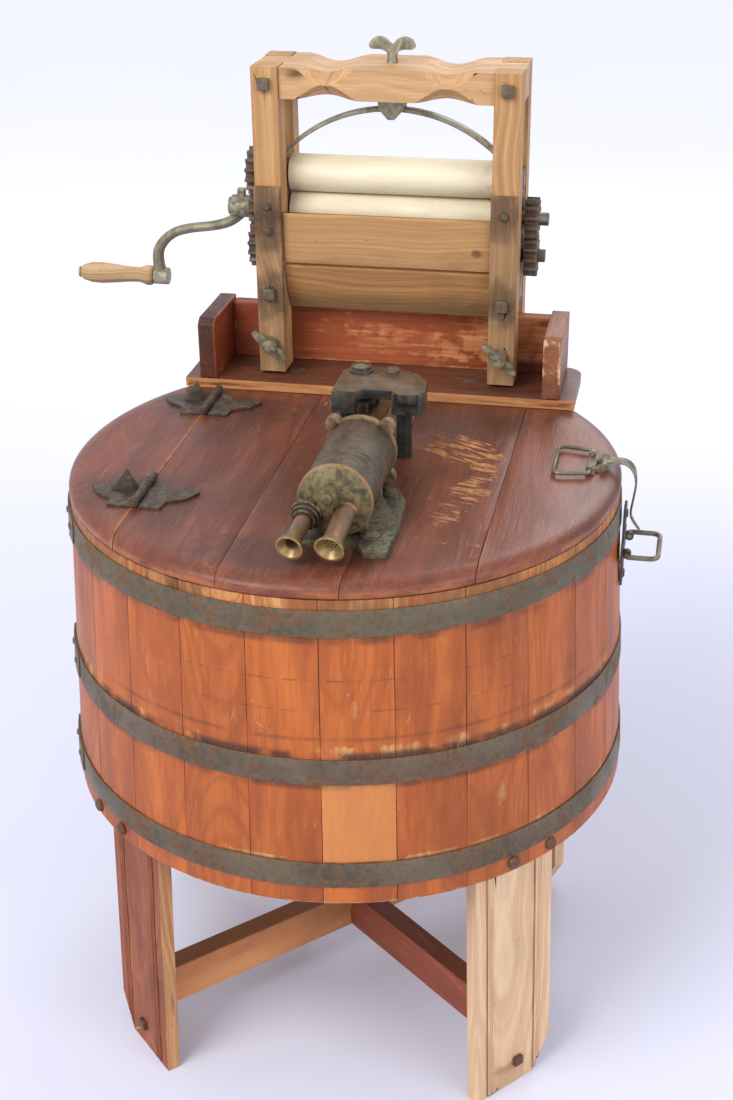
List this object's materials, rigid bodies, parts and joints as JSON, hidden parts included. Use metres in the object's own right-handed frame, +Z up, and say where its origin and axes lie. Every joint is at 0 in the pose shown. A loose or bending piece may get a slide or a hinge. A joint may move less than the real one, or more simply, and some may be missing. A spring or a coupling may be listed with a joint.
{
  "type": "wooden tub washing machine",
  "caption": "Coopered wooden washing tub on board legs, with a water motor that swings a dolly through the hinged lid and a hand-cranked roll wringer behind.",
  "frame": {"origin": "on the floor, under the middle of the object's box; the tub's axis stands 22 mm right of it", "axes": "+Z up, +Y to the back where the wringer stands, +X to the right seen from the front"},
  "size_m": [0.7785, 0.669, 1.149],
  "materials": {
    "tub_wood": "worn orange-red varnish over pale wood",
    "leg_wood_worn": "worn red-brown stain with pale edges",
    "leg_wood_fresh": "bare pale pine, replaced board",
    "brace_wood": "old orange-red stain, dark on top",
    "lid_wood": "dark red-brown paint, scuffed to bare wood",
    "inner_wood": "bare grey-tan wood, water stained",
    "back_board_wood": "red stain, worn pale",
    "wringer_wood": "oiled tan wood, handled",
    "overlay_wood": "greyed tan wood",
    "brass": "brown and green patina, polished lips",
    "blackened_iron": "black paint, dusty on top",
    "hoop_iron": "dark green-brown patina, scratched",
    "grey_iron": "grey galvanised skin gone dull",
    "rusty_iron": "brown rust",
    "roll_covering": "aged cream rubber, fine cracks"
  },
  "bodies": {
    "root": {"tub_staves": "tub_wood", "tub_bottom": "tub_wood", "tub_hoops": "hoop_iron", "leg_front_right": "leg_wood_fresh", "leg_front_left": "leg_wood_worn", "leg_back_right": "leg_wood_fresh", "leg_back_left": "leg_wood_worn", "leg_bolts": "rusty_iron", "brace_right": "brace_wood", "brace_left": "brace_wood", "lid_rear_segment": "lid_wood", "lid_left_segment": "lid_wood", "shelf_plank": "lid_wood", "back_board": "back_board_wood", "end_board_left": "back_board_wood", "end_board_right": "back_board_wood", "hinge_leaves_fixed": "rusty_iron", "handle_brackets": "grey_iron", "posts_left": "wringer_wood", "posts_right": "wringer_wood", "post_overlays": "overlay_wood", "top_beam": "wringer_wood", "apron_board": "wringer_wood", "lower_bearings": "rusty_iron", "wringer_bolts": "rusty_iron"},
    "lid": {"lid_boards": "lid_wood", "lid_battens": "inner_wood", "hinge_leaves_lid": "rusty_iron", "latch_base": "grey_iron", "motor_base": "brass", "motor_barrel": "brass", "motor_front_head": "brass", "motor_rear_head": "brass", "motor_nipples": "brass", "motor_screws": "rusty_iron", "bridge": "blackened_iron"},
    "piston": {"piston_rod": "brass"},
    "dolly": {"dolly_shaft": "grey_iron", "dolly_disc": "inner_wood"},
    "strap": {"latch_strap": "grey_iron"},
    "loop": {"lid_loop": "grey_iron"},
    "bail_right": {"bail_right": "grey_iron"},
    "bail_left": {"bail_left": "grey_iron"},
    "carriage": {"roll_carriages": "rusty_iron"},
    "upper_roll": {"upper_roll": "roll_covering", "upper_gear": "rusty_iron"},
    "lower_roll": {"lower_roll": "roll_covering", "lower_gear": "rusty_iron"},
    "counter": {"counter_shaft": "rusty_iron"},
    "crank": {"crank_arm": "grey_iron", "crank_pinion": "rusty_iron"},
    "grip": {"crank_grip": "wringer_wood"},
    "follower": {"spring_follower": "grey_iron", "bow_spring": "grey_iron"},
    "pressure_screw": {"pressure_screw": "grey_iron"},
    "water_board": {"water_board": "wringer_wood"},
    "clamp_foot_left": {"clamp_foot_left": "rusty_iron"},
    "clamp_foot_right": {"clamp_foot_right": "rusty_iron"},
    "clamp_screw_left": {"clamp_screw_left": "grey_iron"},
    "clamp_screw_right": {"clamp_screw_right": "grey_iron"}
  },
  "joints": [
    {"name": "lid_hinge", "type": "hinge", "parent": "root", "child": "lid", "pos_m": [-0.176, 0, 0.7305], "axis": [0, -1, 0], "range_deg": [0, 95]},
    {"name": "dolly_swing", "type": "hinge", "parent": "lid", "child": "dolly", "pos_m": [0.033, 0.044, 0.773], "axis": [0, 0, -1], "range_deg": [0, 180]},
    {"name": "piston_slide", "type": "slide", "parent": "lid", "child": "piston", "axis": [0, -1, 0], "range_m": [0, 0.0598]},
    {"name": "strap_swing", "type": "hinge", "parent": "lid", "child": "strap", "pos_m": [0.319, 0.022, 0.731], "axis": [0, -1, 0], "range_deg": [0, 100]},
    {"name": "loop_swing", "type": "hinge", "parent": "lid", "child": "loop", "pos_m": [0.303, 0.022, 0.73], "axis": [0, 1, 0], "range_deg": [0, 110]},
    {"name": "bail_right_swing", "type": "hinge", "parent": "root", "child": "bail_right", "pos_m": [0.35117, 0, 0.64], "axis": [0, 1, 0], "range_deg": [0, 80]},
    {"name": "bail_left_swing", "type": "hinge", "parent": "root", "child": "bail_left", "pos_m": [-0.30717, 0, 0.64], "axis": [0, 1, 0], "range_deg": [0, 115]},
    {"name": "carriage_lift", "type": "slide", "parent": "root", "child": "carriage", "axis": [0, 0, 1], "range_m": [0, 0.006]},
    {"name": "upper_roll_turn", "type": "hinge", "parent": "carriage", "child": "upper_roll", "pos_m": [0.028, 0.272, 0.983], "axis": [1, 0, 0], "continuous": true},
    {"name": "lower_roll_turn", "type": "hinge", "parent": "root", "child": "lower_roll", "pos_m": [0.028, 0.272, 0.937], "axis": [1, 0, 0], "continuous": true},
    {"name": "counter_turn", "type": "hinge", "parent": "root", "child": "counter", "pos_m": [0.028, 0.272, 0.891], "axis": [1, 0, 0], "continuous": true},
    {"name": "crank_turn", "type": "hinge", "parent": "root", "child": "crank", "pos_m": [0.028, 0.272, 0.937], "axis": [1, 0, 0], "continuous": true},
    {"name": "grip_spin", "type": "hinge", "parent": "crank", "child": "grip", "pos_m": [-0.332, 0.272, 0.84], "axis": [1, 0, 0], "continuous": true},
    {"name": "follower_slide", "type": "slide", "parent": "root", "child": "follower", "axis": [0, 0, -1], "range_m": [0, 0.008], "deforming": ["bow_spring"]},
    {"name": "pressure_screw_turn", "type": "hinge", "parent": "follower", "child": "pressure_screw", "pos_m": [0.028, 0.272, 1.1], "axis": [0, 0, -1], "range_deg": [0, 720]},
    {"name": "water_board_tilt", "type": "hinge", "parent": "root", "child": "water_board", "pos_m": [0.028, 0.238, 0.849], "axis": [1, 0, 0], "range_deg": [0, 25]},
    {"name": "clamp_left_slide", "type": "slide", "parent": "root", "child": "clamp_foot_left", "axis": [0, -1, 0], "range_m": [0, 0.005]},
    {"name": "clamp_left_turn", "type": "hinge", "parent": "clamp_foot_left", "child": "clamp_screw_left", "pos_m": [-0.117, 0.24, 0.78], "axis": [0, 1, 0], "range_deg": [0, 720]},
    {"name": "clamp_right_slide", "type": "slide", "parent": "root", "child": "clamp_foot_right", "axis": [0, -1, 0], "range_m": [0, 0.005]},
    {"name": "clamp_right_turn", "type": "hinge", "parent": "clamp_foot_right", "child": "clamp_screw_right", "pos_m": [0.173, 0.24, 0.78], "axis": [0, 1, 0], "range_deg": [0, 720]}
  ],
  "couplings": [
    {"joint": "piston_slide", "follows": "dolly_swing", "m_per_rad": 0.019},
    {"joint": "upper_roll_turn", "follows": "crank_turn", "ratio": -0.71429},
    {"joint": "counter_turn", "follows": "crank_turn", "ratio": -0.71429},
    {"joint": "lower_roll_turn", "follows": "crank_turn", "ratio": 0.71429},
    {"joint": "pressure_screw_turn", "follows": "follower_slide", "rad_per_m": 1570.8},
    {"joint": "clamp_left_turn", "follows": "clamp_left_slide", "rad_per_m": 2513.3},
    {"joint": "clamp_right_turn", "follows": "clamp_right_slide", "rad_per_m": 2513.3}
  ]
}
